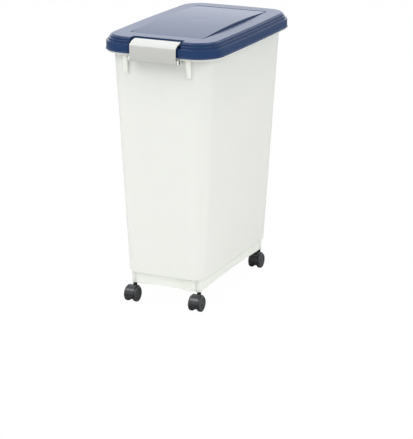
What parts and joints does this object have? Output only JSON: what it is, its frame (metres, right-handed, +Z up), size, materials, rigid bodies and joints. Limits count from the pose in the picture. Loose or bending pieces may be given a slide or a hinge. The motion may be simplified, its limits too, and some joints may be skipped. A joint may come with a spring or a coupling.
{
  "type": "wheeled pet food storage bin",
  "caption": "Tall tapered food storage bin with a hinged sealed lid, a front snap latch and swivelling twin-wheel casters under the foot.",
  "frame": {"origin": "on the floor, at the middle of the footprint", "axes": "+Z up, -Y towards the latched front, +X to the right as seen from the front"},
  "size_m": [0.2698, 0.46, 0.595],
  "materials": {
    "tub_plastic": "satin",
    "latch_plastic": "satin",
    "lid_plastic": "glossy",
    "seal_rubber": "matte",
    "caster_plastic": "satin",
    "wheel_plastic": "satin",
    "caster_steel": "brushed"
  },
  "bodies": {
    "tub": {"tub": "tub_plastic", "caster_front_left_stem": "caster_steel", "caster_front_left_grip_ring": "caster_steel", "caster_front_right_stem": "caster_steel", "caster_front_right_grip_ring": "caster_steel", "caster_rear_left_stem": "caster_steel", "caster_rear_left_grip_ring": "caster_steel", "caster_rear_right_stem": "caster_steel", "caster_rear_right_grip_ring": "caster_steel"},
    "lid": {"lid": "lid_plastic", "lid_seal": "seal_rubber"},
    "latch": {"latch": "latch_plastic"},
    "caster_front_left_swivel": {"caster_front_left_housing": "caster_plastic", "caster_front_left_axle": "caster_steel"},
    "caster_front_left_wheel_left": {"caster_front_left_wheel_left": "wheel_plastic"},
    "caster_front_left_wheel_right": {"caster_front_left_wheel_right": "wheel_plastic"},
    "caster_front_right_swivel": {"caster_front_right_housing": "caster_plastic", "caster_front_right_axle": "caster_steel"},
    "caster_front_right_wheel_left": {"caster_front_right_wheel_left": "wheel_plastic"},
    "caster_front_right_wheel_right": {"caster_front_right_wheel_right": "wheel_plastic"},
    "caster_rear_left_swivel": {"caster_rear_left_housing": "caster_plastic", "caster_rear_left_axle": "caster_steel"},
    "caster_rear_left_wheel_left": {"caster_rear_left_wheel_left": "wheel_plastic"},
    "caster_rear_left_wheel_right": {"caster_rear_left_wheel_right": "wheel_plastic"},
    "caster_rear_right_swivel": {"caster_rear_right_housing": "caster_plastic", "caster_rear_right_axle": "caster_steel"},
    "caster_rear_right_wheel_left": {"caster_rear_right_wheel_left": "wheel_plastic"},
    "caster_rear_right_wheel_right": {"caster_rear_right_wheel_right": "wheel_plastic"}
  },
  "joints": [
    {"name": "lid_hinge", "type": "hinge", "parent": "tub", "child": "lid", "pos_m": [0, 0.2254, 0.549], "axis": [-1, 0, 0], "range_deg": [0, 105]},
    {"name": "latch_hinge", "type": "hinge", "parent": "tub", "child": "latch", "pos_m": [0, -0.222, 0.549], "axis": [1, 0, 0], "range_deg": [0, 140]},
    {"name": "caster_front_left_swivel", "type": "hinge", "parent": "tub", "child": "caster_front_left_swivel", "pos_m": [-0.0765, -0.1627, 0.03], "axis": [0, 0, 1], "continuous": true},
    {"name": "caster_front_left_wheel_left_roll", "type": "hinge", "parent": "caster_front_left_swivel", "child": "caster_front_left_wheel_left", "pos_m": [-0.0765, -0.1746, 0.017], "axis": [1, 0, 0], "continuous": true},
    {"name": "caster_front_left_wheel_right_roll", "type": "hinge", "parent": "caster_front_left_swivel", "child": "caster_front_left_wheel_right", "pos_m": [-0.0765, -0.1746, 0.017], "axis": [1, 0, 0], "continuous": true},
    {"name": "caster_front_right_swivel", "type": "hinge", "parent": "tub", "child": "caster_front_right_swivel", "pos_m": [0.0765, -0.1627, 0.03], "axis": [0, 0, 1], "continuous": true},
    {"name": "caster_front_right_wheel_left_roll", "type": "hinge", "parent": "caster_front_right_swivel", "child": "caster_front_right_wheel_left", "pos_m": [0.0765, -0.1746, 0.017], "axis": [1, 0, 0], "continuous": true},
    {"name": "caster_front_right_wheel_right_roll", "type": "hinge", "parent": "caster_front_right_swivel", "child": "caster_front_right_wheel_right", "pos_m": [0.0765, -0.1746, 0.017], "axis": [1, 0, 0], "continuous": true},
    {"name": "caster_rear_left_swivel", "type": "hinge", "parent": "tub", "child": "caster_rear_left_swivel", "pos_m": [-0.0765, 0.1627, 0.03], "axis": [0, 0, 1], "continuous": true},
    {"name": "caster_rear_left_wheel_left_roll", "type": "hinge", "parent": "caster_rear_left_swivel", "child": "caster_rear_left_wheel_left", "pos_m": [-0.0765, 0.1508, 0.017], "axis": [1, 0, 0], "continuous": true},
    {"name": "caster_rear_left_wheel_right_roll", "type": "hinge", "parent": "caster_rear_left_swivel", "child": "caster_rear_left_wheel_right", "pos_m": [-0.0765, 0.1508, 0.017], "axis": [1, 0, 0], "continuous": true},
    {"name": "caster_rear_right_swivel", "type": "hinge", "parent": "tub", "child": "caster_rear_right_swivel", "pos_m": [0.0765, 0.1627, 0.03], "axis": [0, 0, 1], "continuous": true},
    {"name": "caster_rear_right_wheel_left_roll", "type": "hinge", "parent": "caster_rear_right_swivel", "child": "caster_rear_right_wheel_left", "pos_m": [0.0765, 0.1508, 0.017], "axis": [1, 0, 0], "continuous": true},
    {"name": "caster_rear_right_wheel_right_roll", "type": "hinge", "parent": "caster_rear_right_swivel", "child": "caster_rear_right_wheel_right", "pos_m": [0.0765, 0.1508, 0.017], "axis": [1, 0, 0], "continuous": true}
  ]
}
